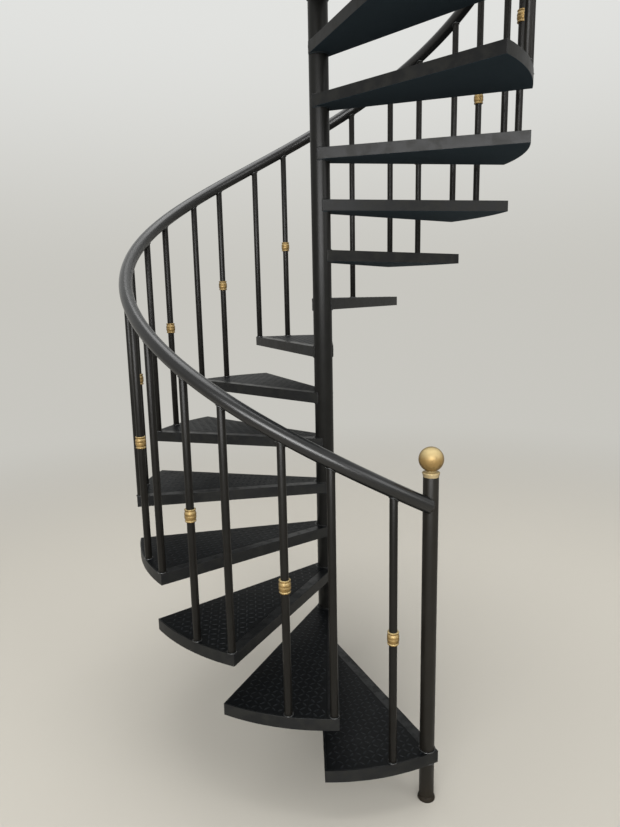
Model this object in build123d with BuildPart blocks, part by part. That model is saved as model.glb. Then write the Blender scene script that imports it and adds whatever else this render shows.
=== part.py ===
from build123d import *
from math import asin, cos, degrees, pi, radians, sin, sqrt
import os

# A welded steel spiral stair. Wedge treads climb clockwise, seen from above, round a tubular
# column on a base plate. Each tread carries two round balusters under a helical tube handrail,
# which starts at a ball-topped newel post on the floor and ends at another on the landing.
# Lengths are millimetres and angles degrees. The origin is the middle of the base plate's
# underside, and the back edge of the landing, which bolts to the upper floor, points along -Y.

# Stair
tread_count = 14
rise = 200
step_angle = 26.0
tread_angle = 29.7
stair_radius = 816
weld_gap = 0.3

# Tread: a closed box with a bed in its top for a patterned plate
tread_thickness = 45
edge_offset = 44
nosing_width = 40
rim_bar = 6
plate_thickness = 3
plate_gap = 0.5
hub_width = 12

# Column and its base plate
column_radius = 40
column_above_landing = 900
cap_radius = 45
cap_edge = 6
cap_crown = 14
base_size = 200
base_thickness = 10
base_hole_radius = 7
base_hole_spacing = 150

# Balusters: angles are behind the tread's front corner
baluster_radius = 14
baluster_inset = 15
front_bar_angle = 1.2
middle_bar_angle = 12.5

# Turned collar on each middle baluster
collar_height = 474
collar_length = 46
collar_rim_radius = 20
collar_rim_length = 6
collar_groove_radius = 18
collar_belly_radius = 21
collar_band_length = 16

# Handrail: heights of the tube's centre above the nosings at the two ends of the flight
rail_radius = 26
rail_height_low = 898
rail_height_high = 830
rail_end_gap = 15

# Newel posts and their tops. The margin is the metal left round the hole in the first tread.
newel_radius = 26.5
newel_margin = 2
newel_above_rail = 104
foot_ring_radius = 31.5
foot_ring_height = 16
cup_length = 17
cup_rim_radius = 29.5
cup_lip = 4
neck_radius = 14
neck_length = 3
ball_radius = 42

# Flange that bolts the landing to the edge of the upper floor, its holes below the landing.
# The set-back is how far in from the stair's rim its middle is.
flange_thickness = 8
flange_height = 160
flange_length = 400
flange_set_back = 276
flange_hole_radius = 7
flange_hole_spacing = 300
flange_hole_rise = 70
flange_hole_drop = 100

landing = tread_count + 1
edge_lean = degrees(asin(edge_offset / stair_radius))
front_direction = -edge_lean
back_direction = edge_lean - tread_angle
first_corner = step_angle * tread_count - back_direction - 450
column_bore = column_radius + weld_gap
rail_circle = stair_radius - baluster_inset
newel_inset = newel_radius + weld_gap + newel_margin
newel_circle = stair_radius - newel_inset
newel_angle = edge_lean - degrees(asin((edge_offset - newel_inset) / newel_circle))
flange_reach = stair_radius - flange_set_back

climb = rise * tread_count + rail_height_high - rail_height_low
climb_per_degree = climb / (step_angle * tread_count)
rail_pitch = 360 * climb_per_degree
rail_slope = degrees(climb_per_degree) / rail_circle


def polar(radius, angle):
    """A point on a circle round the axis."""
    return (radius * cos(radians(angle)), radius * sin(radians(angle)))


def front_angle(step):
    """Angle of the front corner of a tread, or of the landing."""
    return first_corner - step_angle * (step - 1)


def step_level(step):
    """The level of a tread's top, with X running out towards its front corner."""
    return Plane.XY.offset(rise * step).rotated((0, 0, front_angle(step)))


def spot(radius, angle, height):
    """A level plane at a place on the stair, with X running outwards."""
    return Plane((*polar(radius, angle), height)).rotated((0, 0, angle))


def rail_height(angle):
    """Height of the handrail's centre at an angle."""
    return rise + rail_height_low + climb_per_degree * (first_corner - angle)


def rail_section(angle):
    """The plane square across the handrail at an angle."""
    across = (*polar(1, angle), 0)
    along = (*polar(1, angle - 90), rail_slope)
    return Plane((*polar(rail_circle, angle), rail_height(angle)), x_dir=across, z_dir=along)


def save(made, name):
    """Label a finished piece and write it to its file."""
    made.part.label = name
    export_step(made.part, f"parts/{name}.step")


def wedge(level, radius, front, back, bore):
    """A tread's outline: an arc between edges at these offsets from the axis, less a bore."""
    front_corner = front_direction + degrees(asin(front / radius))
    back_corner = back_direction - degrees(asin(back / radius))
    with BuildSketch(level) as outline:
        with BuildLine():
            rim = CenterArc((0, 0), radius, back_corner, front_corner - back_corner)
            Polyline(rim @ 1, polar(front, front_direction + 90), polar(back, back_direction - 90), rim @ 0)
        make_face()
        Circle(bore, mode=Mode.SUBTRACT)
    return outline.sketch


def tread_box(step):
    """A tread without its plate: nosing strip, rim bar and hub ring stand round the bed."""
    level = step_level(step)
    bed_radius = stair_radius - rim_bar
    outline = wedge(level, stair_radius, edge_offset, edge_offset, column_bore)
    bed = wedge(level, bed_radius, edge_offset - nosing_width, edge_offset - rim_bar, column_radius + hub_width)
    with BuildPart() as box:
        extrude(outline, amount=-tread_thickness)
        extrude(bed, amount=-plate_thickness, mode=Mode.SUBTRACT)
    return box.part


def tread_plate(step):
    """The patterned plate that lies in a tread's bed."""
    plate_radius = stair_radius - rim_bar - plate_gap
    front = edge_offset - nosing_width - plate_gap
    back = edge_offset - rim_bar - plate_gap
    outline = wedge(step_level(step), plate_radius, front, back, column_radius + hub_width + plate_gap)
    with BuildPart() as plate:
        extrude(outline, amount=-plate_thickness)
    return plate.part


def newel_hole():
    """The clearance that the lower newel takes through the first tread."""
    with BuildPart() as hole:
        with BuildSketch(spot(newel_circle, lower_newel_angle, 0)):
            Circle(newel_radius + weld_gap)
        extrude(amount=2 * rise)
    return hole.part


def baluster(step, setback):
    """A round bar from its tread to the handrail, hollowed at the top to lie under the tube."""
    angle = front_angle(step) - setback
    foot = rise * step
    saddle = rail_section(angle)
    with BuildPart() as bar:
        with BuildSketch(spot(rail_circle, angle, foot)):
            Circle(baluster_radius)
        extrude(amount=rail_height(angle) - foot)
        with BuildSketch(saddle.offset(-2 * rail_radius)):
            Circle(rail_radius + weld_gap)
        extrude(amount=4 * rail_radius, mode=Mode.SUBTRACT)
    return bar.part


def upright(base):
    """The vertical plane through a level plane's origin, with X outwards and Y up."""
    return Plane(base.origin, x_dir=base.x_dir, z_dir=-base.y_dir)


def baluster_collar(step):
    """A turned collar: two rims and a banded belly between grooves."""
    place = spot(rail_circle, front_angle(step) - middle_bar_angle, rise * step + collar_height)
    bore = baluster_radius + weld_gap
    end = collar_length / 2
    groove = end - collar_rim_length
    profile = [
        (bore, end),
        (collar_rim_radius, end),
        (collar_rim_radius, groove),
        (collar_groove_radius, groove),
        (collar_belly_radius, collar_band_length / 2),
    ]
    mirrored = [(radius, -height) for radius, height in reversed(profile)]
    with BuildPart() as collar:
        with BuildSketch(upright(place)):
            with BuildLine():
                Polyline(profile + mirrored, close=True)
            make_face()
        revolve(axis=Axis(place.origin, (0, 0, 1)))
    return collar.part


def handrail(start, end):
    """A length of the handrail tube between two angles."""
    rise_here = rail_height(end) - rail_height(start)
    helix = Helix(rail_pitch, rise_here, rail_circle, (0, 0, rail_height(start)), lefthand=True)
    path = helix.rotate(Axis.Z, start)
    with BuildPart() as tube:
        with BuildSketch(rail_section(start)):
            Circle(rail_radius)
        sweep(path=path, is_frenet=True)
    return tube.part


def newel(angle, foot, name):
    """A newel post with its cup and ball."""
    top = rail_height(angle) + newel_above_rail
    neck_top = top + cup_length + neck_length
    seat_drop = sqrt(ball_radius ** 2 - neck_radius ** 2)

    with BuildPart() as post:
        with BuildSketch(spot(newel_circle, angle, foot)):
            Circle(newel_radius)
        extrude(amount=top - foot)
    save(post, f"{name}_newel")

    place = spot(newel_circle, angle, top)
    with BuildPart() as cup:
        with BuildSketch(upright(place)):
            with BuildLine():
                ThreePointArc(
                    (newel_radius, 0),
                    (newel_radius + (cup_rim_radius - newel_radius) / 3, (cup_length - cup_lip) / 2),
                    (cup_rim_radius, cup_length - cup_lip),
                )
                Polyline(
                    (cup_rim_radius, cup_length - cup_lip),
                    (cup_rim_radius, cup_length),
                    (neck_radius, cup_length),
                    (neck_radius, cup_length + neck_length),
                    (0, cup_length + neck_length),
                    (0, 0),
                    (newel_radius, 0),
                )
            make_face()
        revolve(axis=Axis(place.origin, (0, 0, 1)))
    save(cup, f"{name}_newel_cup")

    centre = spot(newel_circle, angle, neck_top + seat_drop)
    with BuildPart() as ball:
        with Locations(centre):
            Sphere(ball_radius)
        split(bisect_by=spot(newel_circle, angle, neck_top), keep=Keep.TOP)
    save(ball, f"{name}_newel_ball")


lower_newel_angle = first_corner - newel_angle
upper_newel_angle = front_angle(landing) - tread_angle + newel_angle
landing_height = rise * landing
column_top = landing_height + column_above_landing

os.makedirs("parts", exist_ok=True)

with BuildPart() as base_plate:
    with BuildSketch():
        Rectangle(base_size, base_size)
        with GridLocations(base_hole_spacing, base_hole_spacing, 2, 2):
            Circle(base_hole_radius, mode=Mode.SUBTRACT)
    extrude(amount=base_thickness)
save(base_plate, "base_plate")

with BuildPart() as column:
    with BuildSketch(Plane.XY.offset(base_thickness)):
        Circle(column_radius)
    extrude(amount=column_top - base_thickness)
save(column, "column")

with BuildPart() as column_cap:
    with BuildSketch(upright(spot(0, 0, column_top))):
        with BuildLine():
            dome = TangentArc((0, cap_edge + cap_crown), (cap_radius, cap_edge), tangent=(1, 0))
            Polyline(dome @ 1, (cap_radius, 0), (0, 0), dome @ 0)
        make_face()
    revolve(axis=Axis.Z)
save(column_cap, "column_cap")

bore = newel_hole()
for step in range(1, tread_count + 1):
    with BuildPart() as tread:
        add(tread_box(step))
        if step == 1:
            add(bore, mode=Mode.SUBTRACT)
    save(tread, f"tread_{step:02d}")

with BuildPart() as landing_tread:
    add(tread_box(landing))
save(landing_tread, "landing")

with BuildPart() as plates:
    for step in range(1, landing + 1):
        add(tread_plate(step))
    add(bore, mode=Mode.SUBTRACT)
save(plates, "tread_plates")

with BuildPart() as front_balusters:
    for step in range(2, landing + 1):
        add(baluster(step, front_bar_angle))
save(front_balusters, "front_balusters")

with BuildPart() as middle_balusters:
    for step in range(1, landing + 1):
        add(baluster(step, middle_bar_angle))
save(middle_balusters, "middle_balusters")

with BuildPart() as collars:
    for step in range(1, landing + 1):
        add(baluster_collar(step))
save(collars, "baluster_collars")

newel(lower_newel_angle, 0, "lower")
newel(upper_newel_angle, landing_height, "upper")

with BuildPart() as foot_ring:
    with BuildSketch(spot(newel_circle, lower_newel_angle, 0)):
        Circle(foot_ring_radius)
        Circle(newel_radius + weld_gap, mode=Mode.SUBTRACT)
    extrude(amount=foot_ring_height)
save(foot_ring, "newel_foot_ring")

end_angle = degrees(rail_end_gap / rail_circle)
joint_angle = (middle_bar_angle + step_angle + front_bar_angle) / 2
rail_ends = [
    lower_newel_angle - end_angle,
    front_angle(tread_count // 3 + 1) - joint_angle,
    front_angle(2 * tread_count // 3 + 1) - joint_angle,
    upper_newel_angle + end_angle,
]
for name, start, end in zip(("lower", "middle", "upper"), rail_ends, rail_ends[1:]):
    with BuildPart() as rail:
        add(handrail(start, end))
        for angle in (lower_newel_angle, upper_newel_angle):
            with BuildSketch(spot(newel_circle, angle, rail_height(angle) - 4 * rail_radius)):
                Circle(newel_radius + weld_gap)
            extrude(amount=8 * rail_radius, mode=Mode.SUBTRACT)
    save(rail, f"{name}_handrail")

with BuildPart() as flange:
    with BuildSketch(Plane((-edge_offset, -flange_reach, landing_height), x_dir=(0, -1, 0), z_dir=(-1, 0, 0))):
        Rectangle(flange_length, flange_height, align=(Align.CENTER, Align.MAX))
        with Locations((0, -flange_hole_drop)):
            with GridLocations(flange_hole_spacing, flange_hole_rise, 2, 2):
                Circle(flange_hole_radius, mode=Mode.SUBTRACT)
    extrude(amount=flange_thickness)
save(flange, "landing_flange")
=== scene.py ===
"""The spiral staircase as it looks: black enamel, chequered treads, welds and gold trim."""

import math

import bpy
from mathutils import Matrix, Vector


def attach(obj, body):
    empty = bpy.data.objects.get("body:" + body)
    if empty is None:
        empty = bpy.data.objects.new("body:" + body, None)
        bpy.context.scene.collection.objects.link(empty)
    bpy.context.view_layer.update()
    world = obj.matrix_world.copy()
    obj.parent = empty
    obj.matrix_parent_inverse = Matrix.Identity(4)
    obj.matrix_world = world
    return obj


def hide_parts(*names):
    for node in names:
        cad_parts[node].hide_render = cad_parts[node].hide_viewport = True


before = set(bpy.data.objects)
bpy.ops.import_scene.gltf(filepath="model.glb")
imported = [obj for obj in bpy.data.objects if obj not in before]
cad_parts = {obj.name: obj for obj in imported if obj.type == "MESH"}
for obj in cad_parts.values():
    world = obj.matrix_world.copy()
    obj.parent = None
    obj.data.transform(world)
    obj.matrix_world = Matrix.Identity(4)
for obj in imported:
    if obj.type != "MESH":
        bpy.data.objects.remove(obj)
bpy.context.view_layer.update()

# The stair's own sizes, in metres and degrees. The landing's back edge points along -Y, which is
# a turn and a quarter round.
TREADS = 14
RISE = 0.2
STEP_TURN = 26.0
TREAD_TURN = 29.7
LANDING_EDGE_WAY = -450
RADIUS = 0.816
THICKNESS = 0.045
EDGE_OFFSET = 0.044
NOSING = 0.04
RIM_BAR = 0.006
PLATE_GAP = 0.0005
HUB_WIDTH = 0.012
COLUMN_RADIUS = 0.04
COLUMN_FOOT = 0.01
COLUMN_TOP = 3.9
BAR_RADIUS = 0.014
BAR_CIRCLE = 0.801
FRONT_BAR_TURN = 1.2
MIDDLE_BAR_TURN = 12.5
COLLAR_HEIGHT = 0.474
RAIL_RADIUS = 0.026
RAIL_START_HEIGHT = 1.098
RAIL_CLIMB = 2.732
RAIL_END_GAP = 0.015
NEWEL_RADIUS = 0.0265
NEWEL_CIRCLE = 0.7872
NEWEL_ABOVE_RAIL = 0.104
WELD = 0.0028

LANDING = TREADS + 1
LEAN = math.degrees(math.asin(EDGE_OFFSET / RADIUS))
FRONT_WAY = -LEAN
BACK_WAY = LEAN - TREAD_TURN
FIRST_CORNER = STEP_TURN * TREADS - BACK_WAY + LANDING_EDGE_WAY
NEWEL_TURN = LEAN - math.degrees(math.asin((EDGE_OFFSET + NEWEL_CIRCLE - RADIUS) / NEWEL_CIRCLE))
CLIMB_PER_DEGREE = RAIL_CLIMB / (STEP_TURN * TREADS)
RAIL_SLOPE = math.degrees(CLIMB_PER_DEGREE) / BAR_CIRCLE


def polar(radius, angle, height=0.0):
    """A point at a radius, an angle in degrees and a height."""
    turn = math.radians(angle)
    return Vector((radius * math.cos(turn), radius * math.sin(turn), height))


def corner_angle(step):
    """Angle of a tread's front corner."""
    return FIRST_CORNER - STEP_TURN * (step - 1)


def rail_height(angle):
    """Height of the handrail's centre."""
    return RAIL_START_HEIGHT + CLIMB_PER_DEGREE * (FIRST_CORNER - angle)


LOWER_NEWEL = FIRST_CORNER - NEWEL_TURN
UPPER_NEWEL = corner_angle(LANDING) - TREAD_TURN + NEWEL_TURN


# Finishes


class Strand:
    """A socket of a finish or a light, used in sums."""

    def __init__(self, finish, socket):
        self.finish = finish
        self.socket = socket

    def __add__(self, other):
        return self.finish.sum("ADD", self, other)

    def __rsub__(self, other):
        return self.finish.sum("SUBTRACT", other, self)

    def __mul__(self, other):
        return self.finish.sum("MULTIPLY", self, other)


class Nodes:
    """The nodes of a finish or of the room's light."""

    def __init__(self, tree):
        self.tree = tree

    def node(self, kind, settings=None, inputs=None):
        made = self.tree.nodes.new(kind)
        for name, value in (settings or {}).items():
            setattr(made, name, value)
        for name, value in (inputs or {}).items():
            self.feed(made.inputs[name], value)
        return made

    def feed(self, socket, value):
        if isinstance(value, Strand):
            value = value.socket
        if isinstance(value, bpy.types.NodeSocket):
            self.tree.links.new(value, socket)
        elif isinstance(value, tuple) and socket.type == "RGBA":
            socket.default_value = (*value, 1)
        else:
            socket.default_value = value

    def sum(self, operation, first, second):
        made = self.node("ShaderNodeMath", {"operation": operation}, {0: first, 1: second})
        return Strand(self, made.outputs[0])

    def step(self, value, low, high):
        """0 below low, 1 above high, and smooth between."""
        wanted = {"Value": value, "From Min": low, "From Max": high}
        made = self.node("ShaderNodeMapRange", {"interpolation_type": "SMOOTHSTEP"}, wanted)
        return Strand(self, made.outputs[0])

    def blend(self, share, first, second):
        """One colour to another by a share."""
        made = self.node("ShaderNodeMix", {"data_type": "RGBA"}, {0: share, 6: first, 7: second})
        return made.outputs[2]

    def shown(self):
        """1 on what is seen straight or mirrored in a gloss, and 0 where only light is gathered."""
        path = self.node("ShaderNodeLightPath").outputs
        return Strand(self, path["Is Camera Ray"]) + Strand(self, path["Is Glossy Ray"])


class Finish(Nodes):
    """A named material with one shader."""

    def __init__(self, name):
        self.material = bpy.data.materials.new(name)
        self.material.use_nodes = True
        super().__init__(self.material.node_tree)
        self.shader = self.tree.nodes["Principled BSDF"]
        self.place = self.node("ShaderNodeTexCoord").outputs["Object"]

    def noise(self, size, detail, roughness=0.55):
        """Soft noise whose features, half a wave across, are of about a size in metres."""
        wanted = {"Scale": 0.5 / size, "Detail": detail, "Roughness": roughness}
        made = self.node("ShaderNodeTexNoise", inputs={"Vector": self.place, **wanted})
        return Strand(self, made.outputs["Fac"])

    def facing(self, least, full):
        """0 to 1 as a surface's upward slope goes from least to full."""
        normal = self.node("ShaderNodeNewGeometry").outputs["Normal"]
        z = self.node("ShaderNodeSeparateXYZ", inputs={0: normal}).outputs["Z"]
        return self.step(z, least, full)

    def relief(self, height, depth):
        """Bump of a height over a depth in metres, on what relief there is already."""
        wanted = {"Height": height, "Distance": depth}
        if self.shader.inputs["Normal"].is_linked:
            wanted["Normal"] = self.shader.inputs["Normal"].links[0].from_socket
        bump = self.node("ShaderNodeBump", inputs=wanted)
        self.feed(self.shader.inputs["Normal"], bump.outputs[0])

    def set(self, **values):
        """Feeds the shader's inputs, each named in lower case with underscores."""
        for name, value in values.items():
            label = name.replace("_", " ").title().replace("Ior", "IOR")
            self.feed(self.shader.inputs[label], value)


# Paint. A size is that of a noise's features in metres, and a range is where a share goes from
# 0 to 1.

SHEEN_LEVEL = 0.04
# Painted shade: the colour that the enamels' up-facing faces are darkened to.
TOPSIDE_SHADE = (0.0032, 0.0037, 0.0041)
# Painted bounce light: the pale blue-grey that the treads' down-facing faces take in place of their
# black.
TREAD_UNDERSIDE_PAINTED_LIGHT = (0.042, 0.060, 0.076)
# Painted shade and bounce light: the colour that the down-facing faces of the other paints take.
TUBE_UNDERSIDE_PAINTED_LIGHT = (0.0055, 0.0062, 0.0062)
PATTERN_TOPSIDE = (0.0070, 0.0084, 0.0098)
TOP_SLOPES = (0.5, 0.95)
UNDER_SLOPES = (-0.5, -0.9)
CLOUD_SIZE = 0.12
CLOUD_RANGE = (0.35, 0.7)
CLOUD_GAIN = 1.4
SPECK_SIZE = 0.006
SCUFF = (0.022, 0.022, 0.020)
SCUFF_SIZE = 0.022
SCUFF_HARSHNESS = 0.65
SCUFF_RANGE = (0.42, 0.62)
DUST = (0.06, 0.062, 0.062)
DUST_SPECKS = 0.4
DUST_RANGE = (0.72, 1.1)
DUST_DULLING = 2
GRIME = (0.026, 0.021, 0.015)
GRIME_HEIGHTS = (0.17, 0.05)
GRIME_CLOUDS = 0.08
GRIME_SPECKS = 0.04
GRIME_COVER = 0.75
GRIME_DULLING = 0.9
PAINT_ROUGHNESS = 0.4
PATCH_ROUGHNESS = 0.14
DUST_ROUGHNESS = 0.3
GRIME_ROUGHNESS = 0.2
UNDER_ROUGHNESS = 0.4
BRUSH_WAVE = 0.03
WAVE_DEPTH = 4
BRUSH_RIPPLE = 0.010
GRAIN_SIZE = 0.004
PAINT_GRAIN = 0.00008


def brushed_enamel(
    name, tint, gloss, dust_share=0.1, gloss_roughness=0.3, lumps=0.0001, top_gloss=0.0, wear=0.15,
    topside=TOPSIDE_SHADE, underside=TUBE_UNDERSIDE_PAINTED_LIGHT,
):
    """Black enamel put on by brush: glossy where thick, dull underneath, brown near the floor.
    Faces that look up are darkened as painted shade (on the raised pattern they are lighter
    instead), and faces that look down take a painted colour of shade and bounce light.
    """
    finish = Finish(name)
    cloud = finish.noise(CLOUD_SIZE, detail=4)
    speck = finish.noise(SPECK_SIZE, detail=2)
    top = finish.facing(*TOP_SLOPES)
    dust = top * finish.step(cloud + speck * DUST_SPECKS, *DUST_RANGE) * dust_share
    under = finish.facing(*UNDER_SLOPES)
    worn = finish.step(finish.noise(SCUFF_SIZE, detail=5, roughness=SCUFF_HARSHNESS), *SCUFF_RANGE)
    lighter = tuple(CLOUD_GAIN * part for part in tint)
    paint = finish.blend(finish.step(cloud, *CLOUD_RANGE), tint, lighter)
    paint = finish.blend(worn * wear, paint, SCUFF)
    # Painted shade on most paints: faces that look up take the topside colour. On the raised
    # pattern that colour is lighter.
    paint = finish.blend(top, paint, topside)
    # Painted shade and bounce light: faces that look down take the underside colour.
    paint = finish.blend(under, paint, underside)
    place = finish.node("ShaderNodeSeparateXYZ", inputs={0: finish.place})
    height = Strand(finish, place.outputs["Z"])
    grime = finish.step(height + cloud * GRIME_CLOUDS + speck * GRIME_SPECKS, *GRIME_HEIGHTS)
    paint = finish.blend(grime * GRIME_COVER, paint, GRIME)
    finish.set(base_color=finish.blend(dust, paint, DUST), specular_ior_level=SHEEN_LEVEL)
    patchy = finish.noise(BRUSH_WAVE, detail=3) * PATCH_ROUGHNESS
    dull = patchy + dust * DUST_ROUGHNESS + grime * GRIME_ROUGHNESS + under * UNDER_ROUGHNESS
    finish.set(roughness=dull + PAINT_ROUGHNESS)
    clean = (1 - under) * (1 - dust * DUST_DULLING) * (1 - grime * GRIME_DULLING)
    laid = clean * (1 + wear / 2 - worn * wear)
    finish.set(coat_weight=laid * (top * top_gloss + gloss), coat_roughness=gloss_roughness)
    finish.relief(finish.noise(BRUSH_WAVE, detail=2), WAVE_DEPTH * lumps)
    finish.relief(finish.noise(BRUSH_RIPPLE, detail=3), lumps)
    finish.relief(finish.noise(GRAIN_SIZE, detail=2), PAINT_GRAIN)
    return finish.material


# Painted highlight: the paler gold that up-facing faces are blended to.
GOLD_LIT_TOP = (0.56, 0.44, 0.22)
GOLD_LIT_TOP_SLOPES = (-0.02, 0.9)
# Painted shade: the dark olive brown the gold turns where its surface is seen edge-on.
GOLD_EDGE_SHADE = (0.11, 0.07, 0.026)
GOLD_EDGE_SHADE_RANGE = (0.35, 0.95)
GOLD_EDGE_SHADE_COVER = 0.75
GOLD_METAL = 0.5
GOLD_SHEEN = 0.3
GOLD_ROUGHNESS = 0.49
TARNISH_SIZE = 0.014
TARNISH_RANGE = (0.45, 0.7)
TARNISH_ROUGHNESS = 0.12
CAST_WAVE = 0.02
CAST_DEPTH = 0.0004
GOLD_GRAIN = 0.00006


def gold_with_painted_light(name, tint, brown):
    """Gold coloured trim, brown with tarnish in patches, with a painted highlight that makes it
    paler on top and painted shade that darkens it where its surface is seen edge-on.
    """
    finish = Finish(name)
    tarnish = finish.step(finish.noise(TARNISH_SIZE, detail=4), *TARNISH_RANGE)
    color = finish.blend(tarnish, tint, brown)
    # Painted highlight: paler towards the top.
    color = finish.blend(finish.facing(*GOLD_LIT_TOP_SLOPES), color, GOLD_LIT_TOP)
    # Painted shade: darker where the surface turns away from the view.
    turning = Strand(finish, finish.node("ShaderNodeLayerWeight").outputs["Facing"])
    color = finish.blend(finish.step(turning, *GOLD_EDGE_SHADE_RANGE) * GOLD_EDGE_SHADE_COVER, color, GOLD_EDGE_SHADE)
    finish.set(base_color=color, metallic=GOLD_METAL, specular_ior_level=GOLD_SHEEN)
    finish.set(roughness=tarnish * TARNISH_ROUGHNESS + GOLD_ROUGHNESS)
    finish.relief(finish.noise(CAST_WAVE, detail=2), CAST_DEPTH)
    finish.relief(finish.noise(GRAIN_SIZE, detail=2), GOLD_GRAIN)
    return finish.material


# Painted light and shade: the black enamels below are lighter, darker, warmer and cooler copies of
# one black paint, each tint set to how that piece looks under the room's light.
FINISHES = {
    "black_paint": brushed_enamel(
        "black_enamel", tint=(0.0090, 0.0093, 0.0095), gloss=0.17, lumps=0.0003, top_gloss=0.2,
        wear=0.7, underside=TREAD_UNDERSIDE_PAINTED_LIGHT,
    ),
    "column_paint": brushed_enamel("column_enamel", tint=(0.0052, 0.0051, 0.0046), gloss=0.25),
    "newel_paint": brushed_enamel("newel_enamel", tint=(0.0105, 0.0092, 0.0072), gloss=0.3),
    "bar_paint": brushed_enamel("bar_enamel", tint=(0.0064, 0.0058, 0.0048), gloss=0.26),
    "rail_paint": brushed_enamel(
        "rail_enamel", tint=(0.0028, 0.0028, 0.0028), gloss=1.0, dust_share=0.05,
        gloss_roughness=0.28, lumps=0.00005, wear=0.05,
    ),
    "weld_paint": brushed_enamel(
        "weld_enamel", tint=(0.012, 0.0125, 0.013), gloss=1.0, dust_share=0.0, gloss_roughness=0.16,
    ),
    "plate_paint": brushed_enamel("plate_enamel", tint=(0.0022, 0.0025, 0.0027), gloss=0.09),
    "pattern_paint": brushed_enamel(
        "pattern_enamel", tint=(0.004, 0.005, 0.006), gloss=0.18, topside=PATTERN_TOPSIDE,
    ),
    "gold": gold_with_painted_light("satin_gold", tint=(0.275, 0.177, 0.063), brown=(0.15, 0.094, 0.03)),
    # Painted highlight: the cups take a paler copy of the gold, for the light their tops catch.
    "lit_cup_gold": gold_with_painted_light("lit_pale_gold", tint=(0.46, 0.36, 0.2), brown=(0.25, 0.17, 0.08)),
}


# Making of pieces

MERGE_DISTANCE = 1e-5
TURNED_MERGE = 1e-6
FACET_ANGLE = 0.5
CORNER_ANGLE = 35
BAR_END_ANGLE = 60
BAR_END_EDGE = 0.0008
BAR_END_SEGMENTS = 2
EDGE_SEGMENTS = 3
WELD_SMOOTHING = 80
BEAD_RESOLUTION = 2
BEAD_WAVES = ((0.12, 0.9, 2.3), (0.1, 0.37, 1.0))
BEAD_RIPPLE = 0.09


def clear_choice():
    """Nothing selected, and no piece being edited."""
    if bpy.context.object and bpy.context.object.mode != "OBJECT":
        bpy.ops.object.mode_set(mode="OBJECT")
    bpy.ops.object.select_all(action="DESELECT")


def choose(piece):
    """Makes a piece the only one selected, and active."""
    clear_choice()
    piece.select_set(True)
    bpy.context.view_layer.objects.active = piece


def settle(piece):
    """The piece's place goes into its mesh."""
    choose(piece)
    bpy.ops.object.transform_apply(location=True, rotation=True, scale=True)


def keep(piece, name, paint, *nodes):
    """A finished piece: named, painted, and riding on the stair."""
    piece.name = name
    piece.data.name = name
    piece.data.materials.clear()
    piece.data.materials.append(FINISHES[paint])
    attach(piece, "root")
    if nodes:
        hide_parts(*nodes)


def smooth(piece, angle=30):
    """Smooth shading, save over edges sharper than an angle."""
    choose(piece)
    bpy.ops.object.shade_smooth_by_angle(angle=math.radians(angle))


def apply(piece, kind, **settings):
    """Adds a modifier with its settings and applies it."""
    choose(piece)
    modifier = piece.modifiers.new(kind.title(), kind)
    for name, value in settings.items():
        setattr(modifier, name, value)
    bpy.ops.object.modifier_apply(modifier=modifier.name)


def bevel(piece, width, segments, angle):
    """Rounds the edges that are sharper than an angle."""
    limit = math.radians(angle)
    apply(piece, "BEVEL", width=width, segments=segments, limit_method="ANGLE", angle_limit=limit)


def join(pieces):
    """Several pieces as one."""
    clear_choice()
    for piece in pieces:
        piece.select_set(True)
    bpy.context.view_layer.objects.active = pieces[0]
    bpy.ops.object.join()
    return pieces[0]


def copy_of(piece, place):
    """A copy with its own mesh, moved by a matrix."""
    made = bpy.data.objects.new(piece.name, piece.data.copy())
    bpy.context.scene.collection.objects.link(made)
    made.data.transform(place)
    return made


def rounded(node, edge):
    """A CAD node's shape with its facets merged and its edges rounded."""
    piece = bpy.data.objects.new(node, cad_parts[node].data.copy())
    bpy.context.scene.collection.objects.link(piece)
    choose(piece)
    bpy.ops.object.mode_set(mode="EDIT")
    bpy.ops.mesh.select_all(action="SELECT")
    bpy.ops.mesh.remove_doubles(threshold=MERGE_DISTANCE)
    bpy.ops.mesh.dissolve_limited(angle_limit=math.radians(FACET_ANGLE))
    bpy.ops.object.mode_set(mode="OBJECT")
    bevel(piece, edge, EDGE_SEGMENTS, CORNER_ANGLE)
    smooth(piece)
    apply(piece, "WEIGHTED_NORMAL", keep_sharp=True)
    return piece


def turned(profile, place, steps):
    """A turned shape: a profile of (radius, height) points, spun round an upright axis."""
    outline = bpy.data.meshes.new("profile")
    edges = [(i, i + 1) for i in range(len(profile) - 1)]
    outline.from_pydata([(x, 0, z) for x, z in profile], edges, [])
    piece = bpy.data.objects.new("turned", outline)
    bpy.context.scene.collection.objects.link(piece)
    choose(piece)
    bpy.ops.object.mode_set(mode="EDIT")
    bpy.ops.mesh.select_all(action="SELECT")
    bpy.ops.mesh.spin(steps=steps, angle=math.tau, center=(0, 0, 0), axis=(0, 0, 1))
    bpy.ops.mesh.select_all(action="SELECT")
    bpy.ops.mesh.remove_doubles(threshold=TURNED_MERGE)
    bpy.ops.mesh.normals_make_consistent(inside=False)
    bpy.ops.object.mode_set(mode="OBJECT")
    piece.data.transform(Matrix.Translation(place))
    return piece


def post(radius, foot, top, sides):
    """A round bar or tube with softly rounded ends."""
    clear_choice()
    middle = Vector((foot.x, foot.y, (foot.z + top) / 2))
    bpy.ops.mesh.primitive_cylinder_add(
        vertices=sides, radius=radius, depth=top - foot.z, location=middle,
    )
    piece = bpy.context.object
    settle(piece)
    bevel(piece, BAR_END_EDGE, BAR_END_SEGMENTS, BAR_END_ANGLE)
    smooth(piece)
    return piece


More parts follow.
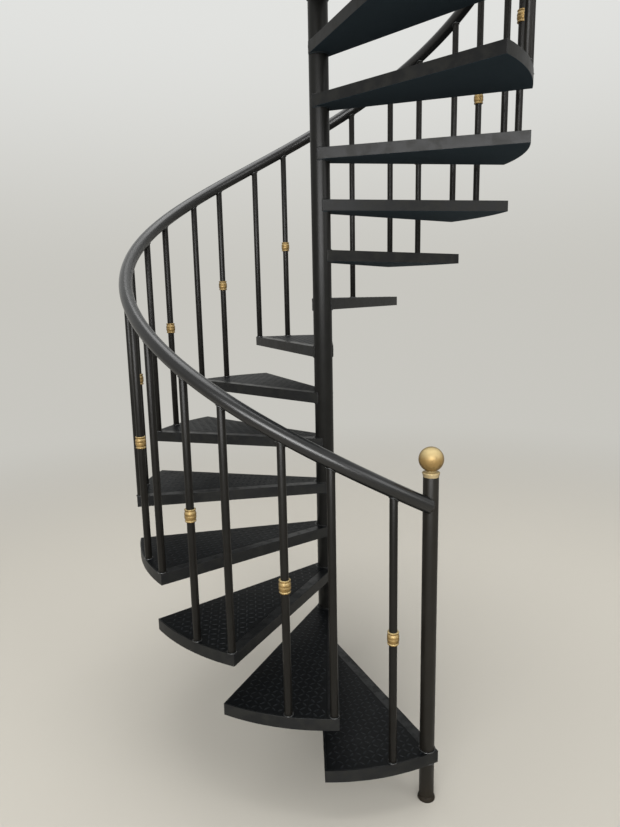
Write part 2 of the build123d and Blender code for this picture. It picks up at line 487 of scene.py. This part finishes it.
def bead_swell(run, point):
    """How thick a bead is at a point of a run, 1 on the whole, in two slow waves and a ripple."""
    waves = sum(swell * math.sin(a * point + b * run) for swell, a, b in BEAD_WAVES)
    return 1 + waves + (BEAD_RIPPLE if point % 2 else -BEAD_RIPPLE)


def weld(name, runs, size=WELD):
    """Rippled weld beads along closed runs of points."""
    curve = bpy.data.curves.new(name, "CURVE")
    curve.dimensions = "3D"
    curve.bevel_depth = size
    curve.bevel_resolution = BEAD_RESOLUTION
    curve.use_fill_caps = True
    for number, places in enumerate(runs):
        spline = curve.splines.new("POLY")
        spline.points.add(len(places) - 1)
        spline.use_cyclic_u = True
        for i, (point, place) in enumerate(zip(spline.points, places)):
            point.co = (*place, 1)
            point.radius = bead_swell(number, i)
    piece = bpy.data.objects.new(name, curve)
    bpy.context.scene.collection.objects.link(piece)
    choose(piece)
    bpy.ops.object.convert(target="MESH")
    piece = bpy.context.object
    smooth(piece, WELD_SMOOTHING)
    return piece


def ring(centre, radius):
    """Points of a level circle, a bead's size apart."""
    count = round(math.tau * radius / WELD)
    return [centre + polar(radius, 360 * i / count) for i in range(count)]


# Treads and the landing

TREAD_EDGE = 0.0018
PLATE_EDGE = 0.0005

for step in range(1, LANDING + 1):
    node = "landing" if step == LANDING else f"tread_{step:02d}"
    keep(rounded(node, TREAD_EDGE), f"{node}_box", "black_paint", node)

keep(rounded("tread_plates", PLATE_EDGE), "chequer_plates", "plate_paint", "tread_plates")

LOZENGE_LENGTH = 0.024
LOZENGE_WIDTH = 0.0068
LOZENGE_HEIGHT = 0.0008
LOZENGE_PITCH = 0.0245
LOZENGE_TILT = 45
LOZENGE_SLOPE = 0.14
PATTERN_MARGIN = 0.0015
FOOT_CLEARANCE = 0.024
NEWEL_INWARD = 0.985
PATTERN_SMOOTHING = 50


def lozenge():
    """One raised lozenge of the chequer pattern, on the ground at the origin."""
    # It is made as long, wide and high as 1, and then scaled
    clear_choice()
    bpy.ops.mesh.primitive_circle_add(vertices=8, radius=0.5, fill_type="NGON")
    piece = bpy.context.object
    bpy.ops.object.mode_set(mode="EDIT")
    bpy.ops.mesh.select_all(action="SELECT")
    bpy.ops.mesh.inset(thickness=LOZENGE_SLOPE)
    bpy.ops.transform.translate(value=(0, 0, 1))
    bpy.ops.object.mode_set(mode="OBJECT")
    piece.data.transform(Matrix.Diagonal((LOZENGE_LENGTH, LOZENGE_WIDTH, LOZENGE_HEIGHT, 1)))
    return piece


def on_plate(x, y):
    """True if a point is on the plate of a tread whose front corner is at angle 0."""
    radius = math.hypot(x, y)
    front = polar(1, FRONT_WAY + 90)
    back = polar(1, BACK_WAY - 90)
    inset = PLATE_GAP + PATTERN_MARGIN
    return (
        COLUMN_RADIUS + HUB_WIDTH + inset < radius < RADIUS - RIM_BAR - inset
        and x * front.x + y * front.y < EDGE_OFFSET - NOSING - inset
        and x * back.x + y * back.y < EDGE_OFFSET - RIM_BAR - inset
    )


def chequer(step, shape):
    """The raised pattern of one tread, clear of the newel and the bars' feet."""
    turn = math.radians(corner_angle(step))
    middle = math.radians((FRONT_WAY + BACK_WAY) / 2)
    feet = [polar(BAR_CIRCLE, -FRONT_BAR_TURN), polar(BAR_CIRCLE, -MIDDLE_BAR_TURN)]
    if step == 1:
        feet[0] = polar(NEWEL_CIRCLE, -NEWEL_TURN) * NEWEL_INWARD
    verts, faces = [], []
    corners = [vertex.co.copy() for vertex in shape.data.vertices]
    loops = [tuple(polygon.vertices) for polygon in shape.data.polygons]
    count = int(RADIUS / LOZENGE_PITCH) + 1
    for i in range(count + 1):
        for j in range(-count // 2, count // 2 + 1):
            spot = Vector((i * LOZENGE_PITCH, j * LOZENGE_PITCH, 0))
            place = Matrix.Rotation(middle, 4, "Z") @ spot
            tilt = middle + math.radians(LOZENGE_TILT if (i + j) % 2 else -LOZENGE_TILT)
            way = math.degrees(tilt)
            ends = [place + polar(LOZENGE_LENGTH / 2, way + side) for side in (0, 180)]
            if not all(on_plate(p.x, p.y) for p in (*ends, place)):
                continue
            if any((place - foot).length < FOOT_CLEARANCE for foot in feet):
                continue
            move = Matrix.Translation((0, 0, RISE * step)) @ Matrix.Rotation(turn, 4, "Z")
            move = move @ Matrix.Translation(place) @ Matrix.Rotation(tilt, 4, "Z")
            faces += [tuple(v + len(verts) for v in loop) for loop in loops]
            verts += [move @ corner for corner in corners]
    mesh = bpy.data.meshes.new("chequer")
    mesh.from_pydata(verts, [], faces)
    piece = bpy.data.objects.new("chequer", mesh)
    bpy.context.scene.collection.objects.link(piece)
    return piece


shape = lozenge()
for step in range(1, LANDING + 1):
    field = chequer(step, shape)
    smooth(field, PATTERN_SMOOTHING)
    keep(field, f"chequer_pattern_{step:02d}", "pattern_paint")
bpy.data.objects.remove(shape)

# Column, base plate and landing flange

COLUMN_SIDES = 96
CAP_EDGE = 0.0008
BASE_EDGE = 0.0015
FLANGE_EDGE = 0.0012

column = post(COLUMN_RADIUS, Vector((0, 0, COLUMN_FOOT)), COLUMN_TOP, COLUMN_SIDES)
keep(column, "column_tube", "column_paint", "column")
keep(rounded("column_cap", CAP_EDGE), "column_dome", "column_paint", "column_cap")
keep(rounded("base_plate", BASE_EDGE), "floor_plate", "black_paint", "base_plate")
keep(rounded("landing_flange", FLANGE_EDGE), "wall_flange", "black_paint", "landing_flange")

# Handrail

RAIL_SIDES = 40
RAIL_STEP_TURN = 1.5
RAIL_SMOOTHING = 50
RAIL_END_TURN = math.degrees(RAIL_END_GAP / BAR_CIRCLE)
RAIL_START = LOWER_NEWEL - RAIL_END_TURN
RAIL_SWEEP = LOWER_NEWEL - UPPER_NEWEL - 2 * RAIL_END_TURN


def rail_frame(angle):
    """Outward and upward directions square across the handrail."""
    out = polar(1, angle)
    along = (polar(1, angle - 90) + Vector((0, 0, RAIL_SLOPE))).normalized()
    return out, along.cross(out)


def handrail():
    """The whole tube: a circle screwed up round the stair's axis, its ends closed."""
    out, up = rail_frame(RAIL_START)
    clear_choice()
    bpy.ops.mesh.primitive_circle_add(vertices=RAIL_SIDES, radius=RAIL_RADIUS)
    piece = bpy.context.object
    turn = Matrix((out, up, out.cross(up))).transposed().to_4x4()
    start = polar(BAR_CIRCLE, RAIL_START, rail_height(RAIL_START))
    piece.data.transform(Matrix.Translation(start) @ turn)
    steps = round(RAIL_SWEEP / RAIL_STEP_TURN)
    apply(
        piece, "SCREW", axis="Z", angle=-math.radians(RAIL_SWEEP),
        screw_offset=RAIL_SWEEP * CLIMB_PER_DEGREE, steps=steps, render_steps=steps,
    )
    choose(piece)
    bpy.ops.object.mode_set(mode="EDIT")
    bpy.ops.mesh.select_all(action="SELECT")
    bpy.ops.mesh.fill_holes(sides=0)
    bpy.ops.mesh.select_all(action="SELECT")
    bpy.ops.mesh.normals_make_consistent(inside=False)
    bpy.ops.object.mode_set(mode="OBJECT")
    smooth(piece, RAIL_SMOOTHING)
    return piece


keep(
    handrail(), "handrail_tube", "rail_paint",
    "lower_handrail", "middle_handrail", "upper_handrail",
)

# Balusters, each with a weld at its foot and at its head

BAR_SIDES = 32
BAR_REACH = 0.6
FOOT_BEAD_OUT = 0.001
FOOT_BEAD_UP = 0.0008
HEAD_BEAD_OUT = 0.0008
HEAD_BEAD_DOWN = 0.0006


def bar_spots():
    """(step, angle, which bar) of every baluster."""
    for step in range(1, LANDING + 1):
        if step > 1:
            yield step, corner_angle(step) - FRONT_BAR_TURN, "front"
        yield step, corner_angle(step) - MIDDLE_BAR_TURN, "middle"


def rail_underside(angle, point):
    """Height of the handrail's underside over a point near an angle."""
    out, along = polar(1, angle), polar(1, angle - 90)
    offset = Vector((point.x, point.y, 0)) - polar(BAR_CIRCLE, angle)
    across, ahead = offset.dot(out), offset.dot(along)
    drop = math.sqrt(RAIL_RADIUS ** 2 - across ** 2) / math.cos(math.atan(RAIL_SLOPE))
    return rail_height(angle) + ahead * RAIL_SLOPE - drop


bars = {"front": [], "middle": []}
foot_runs, head_runs = [], []
for step, angle, which in bar_spots():
    foot = polar(BAR_CIRCLE, angle, RISE * step)
    top = rail_height(angle) - RAIL_RADIUS * BAR_REACH
    bars[which].append(post(BAR_RADIUS, foot, top, BAR_SIDES))
    foot_runs.append(ring(foot + Vector((0, 0, FOOT_BEAD_UP)), BAR_RADIUS + FOOT_BEAD_OUT))
    head = ring(foot, BAR_RADIUS + HEAD_BEAD_OUT)
    head_runs.append([Vector((p.x, p.y, rail_underside(angle, p) - HEAD_BEAD_DOWN)) for p in head])
for which, made in bars.items():
    keep(join(made), f"{which}_bars", "bar_paint", f"{which}_balusters")
keep(weld("bar_foot_welds", foot_runs), "bar_foot_welds", "weld_paint")
keep(weld("bar_head_welds", head_runs), "bar_head_welds", "weld_paint")

# Collars. Profiles are of (radius, height) points.

COLLAR_SIDES = 40
TRIM_SMOOTHING = 40
COLLAR_WAIST = 0.0200
COLLAR_PROFILE = [
    (0.0143, 0.0230), (0.0184, 0.0230), (0.0196, 0.0222), (0.0200, 0.0204), (0.0198, 0.0186),
    (0.0188, 0.0174), (0.0181, 0.0169), (0.0180, 0.0155), (0.0186, 0.0140), (0.0198, 0.0112),
    (0.0207, 0.0080), (0.0210, 0.0050), (0.0207, 0.0021), (0.0202, 0.0006),
]


def collar():
    """One turned collar at the origin: rims, grooves and a belly of two beads."""
    mirrored = [(radius, -height) for radius, height in reversed(COLLAR_PROFILE)]
    profile = COLLAR_PROFILE + [(COLLAR_WAIST, 0.0)] + mirrored
    piece = turned(profile + [profile[0]], Vector((0, 0, 0)), COLLAR_SIDES)
    smooth(piece, TRIM_SMOOTHING)
    return piece


first_collar = collar()
collars = []
for step in range(1, LANDING + 1):
    place = polar(BAR_CIRCLE, corner_angle(step) - MIDDLE_BAR_TURN, RISE * step + COLLAR_HEIGHT)
    collars.append(copy_of(first_collar, Matrix.Translation(place)))
bpy.data.objects.remove(first_collar)
keep(join(collars), "bar_collars", "gold", "baluster_collars")

# Newel posts, their cups and their balls

NEWEL_SIDES = 64
BALL_SIDES = 72
BALL_BANDS = 40
CUP_LENGTH = 0.017
NECK_LENGTH = 0.003
NECK_RADIUS = 0.014
BALL_RADIUS = 0.042
CUP_PROFILE = [
    (0, 0), (0.0262, 0), (0.0266, 0.0006), (0.0270, 0.0030), (0.0278, 0.0070), (0.0287, 0.0100),
    (0.0293, 0.0115), (0.0295, 0.0130), (0.0294, 0.0144), (0.0288, 0.0153), (0.0278, 0.0157),
    (0.0240, 0.0165), (0.0190, 0.0175), (0.0162, 0.0182), (0.0149, 0.0187), (0.0142, 0.0193),
    (0.0140, 0.0200), (0, 0.0200),
]


def ball_profile():
    """Half the outline of a ball that is cut flat where it sits on its neck."""
    seat = math.asin(NECK_RADIUS / BALL_RADIUS)
    centre = BALL_RADIUS * math.cos(seat)
    profile = [(0, 0)]
    for i in range(BALL_BANDS + 1):
        turn = seat + (math.pi - seat) * i / BALL_BANDS
        profile.append((BALL_RADIUS * math.sin(turn), centre - BALL_RADIUS * math.cos(turn)))
    return profile


def newel(angle, foot, name):
    """A newel post with its cup and its ball."""
    top = rail_height(angle) + NEWEL_ABOVE_RAIL
    tube = post(NEWEL_RADIUS, polar(NEWEL_CIRCLE, angle, foot), top, NEWEL_SIDES)
    keep(tube, f"{name}_newel_post", "newel_paint", f"{name}_newel")
    cup = turned(CUP_PROFILE, polar(NEWEL_CIRCLE, angle, top), NEWEL_SIDES)
    smooth(cup, TRIM_SMOOTHING)
    keep(cup, f"{name}_ball_cup", "lit_cup_gold", f"{name}_newel_cup")
    seat = polar(NEWEL_CIRCLE, angle, top + CUP_LENGTH + NECK_LENGTH)
    ball = turned(ball_profile(), seat, BALL_SIDES)
    smooth(ball, TRIM_SMOOTHING)
    keep(ball, f"{name}_ball", "gold", f"{name}_newel_ball")


newel(LOWER_NEWEL, 0, "lower")
newel(UPPER_NEWEL, RISE * LANDING, "upper")

RING_PROFILE = [
    (0.0268, 0.0), (0.0310, 0.0), (0.0315, 0.0008), (0.0314, 0.0030), (0.0306, 0.0070),
    (0.0294, 0.0110), (0.0282, 0.0140), (0.0274, 0.0155), (0.0268, 0.0160), (0.0268, 0.0),
]
foot_ring = turned(RING_PROFILE, polar(NEWEL_CIRCLE, LOWER_NEWEL), NEWEL_SIDES)
smooth(foot_ring, TRIM_SMOOTHING)
keep(foot_ring, "newel_shoe", "newel_paint", "newel_foot_ring")

# Welds where the handrail meets the newels

END_WELD = 0.0024
END_WELD_POINTS = 44
END_WELD_SUNK = 0.001
END_WELD_OUT = 0.0006
END_WELD_FAR_TURN = 6.0
HALVINGS = 24


def newel_end_weld(angle, side):
    """The bead where the handrail meets a newel. Side is 1 past the newel and -1 before it."""
    newel_axis = polar(NEWEL_CIRCLE, angle)
    newel_reach = NEWEL_RADIUS + END_WELD_OUT
    rail_reach = RAIL_RADIUS - END_WELD_SUNK
    points = []
    for i in range(END_WELD_POINTS):
        around = math.tau * i / END_WELD_POINTS
        near, far = RAIL_END_TURN, END_WELD_FAR_TURN
        for _ in range(HALVINGS):
            turn = (near + far) / 2
            here = angle - side * turn
            out, up = rail_frame(here)
            across = out * math.cos(around) - up * math.sin(around)
            place = polar(BAR_CIRCLE, here, rail_height(here)) + across * rail_reach
            inside = (Vector((place.x, place.y, 0)) - newel_axis).length < newel_reach
            near, far = (turn, far) if inside else (near, turn)
        points.append(place)
    return points


end_runs = [newel_end_weld(LOWER_NEWEL, 1), newel_end_weld(UPPER_NEWEL, -1)]
keep(weld("newel_rail_welds", end_runs, END_WELD), "newel_rail_welds", "newel_paint")

# Welds round the column and the newels' feet

HUB_WRAP = 103.0
HUB_POINTS = 50
HUB_SIDE_POINTS = 14
BEAD_OUT = 0.0012
BEAD_UP = 0.0006
NEWEL_FOOT_WELD = 0.003
COLUMN_FOOT_WELD = 0.0035
COLUMN_BEAD_OUT = 0.0015
COLUMN_BEAD_UP = 0.001


def hub_run(step):
    """The closed run where a tread meets the column: over the top, down, and back below."""
    middle = corner_angle(step) + (FRONT_WAY + BACK_WAY) / 2
    radius = COLUMN_RADIUS + BEAD_OUT
    top, bottom = RISE * step + BEAD_UP, RISE * step - THICKNESS - BEAD_UP
    angles = [middle - HUB_WRAP + 2 * HUB_WRAP * i / HUB_POINTS for i in range(HUB_POINTS + 1)]
    drops = [top + (bottom - top) * i / HUB_SIDE_POINTS for i in range(1, HUB_SIDE_POINTS)]
    points = [polar(radius, angle, top) for angle in angles]
    points += [polar(radius, angles[-1], height) for height in drops]
    points += [polar(radius, angle, bottom) for angle in reversed(angles)]
    points += [polar(radius, angles[0], height) for height in reversed(drops)]
    return points


hub_runs = [hub_run(step) for step in range(1, LANDING + 1)]
keep(weld("hub_welds", hub_runs), "hub_welds", "black_paint")
newel_feet = [
    polar(NEWEL_CIRCLE, LOWER_NEWEL, RISE + BEAD_UP),
    polar(NEWEL_CIRCLE, LOWER_NEWEL, RISE - THICKNESS - BEAD_UP),
    polar(NEWEL_CIRCLE, UPPER_NEWEL, RISE * LANDING + BEAD_UP),
]
newel_foot_runs = [ring(foot, NEWEL_RADIUS + BEAD_OUT) for foot in newel_feet]
keep(weld("newel_foot_welds", newel_foot_runs, NEWEL_FOOT_WELD), "newel_foot_welds", "weld_paint")
column_foot = ring(Vector((0, 0, COLUMN_FOOT + COLUMN_BEAD_UP)), COLUMN_RADIUS + COLUMN_BEAD_OUT)
keep(weld("column_foot_weld", [column_foot], COLUMN_FOOT_WELD), "column_foot_weld", "weld_paint")

# Stage, light and camera

WALL = (0.575, 0.565, 0.525)
WALL_TOP = (0.76, 0.765, 0.745)
WALL_TOP_SLOPE = 0.4
FLOOR = (0.53, 0.503, 0.442)
FLOOR_SIZE = 60
FLOOR_ROUGHNESS = 0.8
ROOM_LIGHT = 0.5
FLOOR_BOUNCE = 0.45
BACKDROP_NEAR = 2.0
BACKDROP_FAR = 6.5


def pale_floor():
    """A plain floor that passes into the backdrop, dimmer to the stair than to the camera."""
    finish = Finish("pale_floor")
    shown = finish.shown()
    bounce = tuple(FLOOR_BOUNCE * part for part in FLOOR)
    finish.set(base_color=finish.blend(shown, bounce, FLOOR), roughness=FLOOR_ROUGHNESS)
    length = finish.node("ShaderNodeVectorMath", {"operation": "LENGTH"}, {0: finish.place})
    wall = finish.node("ShaderNodeEmission", inputs={"Color": WALL}).outputs[0]
    share = finish.step(length.outputs[1], BACKDROP_NEAR, BACKDROP_FAR) * shown
    parts = {0: share, 1: finish.shader.outputs[0], 2: wall}
    whole = finish.node("ShaderNodeMixShader", inputs=parts).outputs[0]
    finish.feed(finish.tree.nodes["Material Output"].inputs["Surface"], whole)
    return finish.material


clear_choice()
bpy.ops.mesh.primitive_plane_add(size=FLOOR_SIZE)
floor = bpy.context.object
floor.name = "floor"
floor.data.materials.append(pale_floor())

world = bpy.data.worlds.new("pale_room")
bpy.context.scene.world = world
world.use_nodes = True
room = Nodes(world.node_tree)
white = {"Color": (1, 1, 1), "Strength": ROOM_LIGHT}
light = room.node("ShaderNodeBackground", inputs=white).outputs[0]
way = room.node("ShaderNodeTexCoord").outputs["Generated"]
upward = Strand(room, room.node("ShaderNodeSeparateXYZ", inputs={0: way}).outputs["Z"])
wall_color = room.blend(room.step(upward, 0.0, WALL_TOP_SLOPE), WALL, WALL_TOP)
wall = room.node("ShaderNodeBackground", inputs={"Color": wall_color}).outputs[0]
both = room.node("ShaderNodeMixShader", inputs={0: room.shown(), 1: light, 2: wall}).outputs[0]
room.feed(room.tree.nodes["World Output"].inputs["Surface"], both)


def lamp(name, place, target, width, depth, power, spread=180):
    """A soft box that faces a point, its light held to a spread in degrees."""
    data = bpy.data.lights.new(name, "AREA")
    data.shape = "RECTANGLE"
    data.size, data.size_y = width, depth
    data.energy = power
    data.spread = math.radians(spread)
    made = bpy.data.objects.new(name, data)
    bpy.context.scene.collection.objects.link(made)
    made.location = place
    made.rotation_mode = "QUATERNION"
    made.rotation_quaternion = (Vector(target) - Vector(place)).to_track_quat("-Z", "Y")
    made.visible_camera = False


lamp("overhead_light", place=(0.0, 0.4, 7.5), target=(0, 0, 1.5), width=5.0, depth=5.0, power=250)
lamp(
    "front_light", place=(-0.6, -8.0, 3.4), target=(0, 0, 2.6), width=9.0, depth=3.0, power=320,
    spread=100,
)
lamp("side_light", place=(6.5, -4.2, 4.4), target=(0, 0, 1.5), width=4.4, depth=3.6, power=130)

# The camera as it stood for the photograph, its turns in degrees. Its lens is said in pixels, as
# is the picture's long side.
FOCAL_PIXELS = 639.24
LONG_SIDE = 827
SENSOR_WIDTH = 36
CAMERA_PLACE = (0.1018, -2.759, 1.818)
CAMERA_HEADING = -3.406
CAMERA_LIFT = -10.511
CAMERA_ROLL = -1.156

camera_data = bpy.data.cameras.new("camera")
camera_data.sensor_fit = "AUTO"
camera_data.sensor_width = SENSOR_WIDTH
camera_data.lens = SENSOR_WIDTH * FOCAL_PIXELS / LONG_SIDE
camera = bpy.data.objects.new("camera", camera_data)
bpy.context.scene.collection.objects.link(camera)
camera.matrix_world = (
    Matrix.Translation(CAMERA_PLACE)
    @ Matrix.Rotation(math.radians(-CAMERA_HEADING), 4, "Z")
    @ Matrix.Rotation(math.radians(90 + CAMERA_LIFT), 4, "X")
    @ Matrix.Rotation(math.radians(CAMERA_ROLL), 4, "Z")
)
bpy.context.scene.camera = camera
bpy.context.scene.view_settings.view_transform = "Standard"
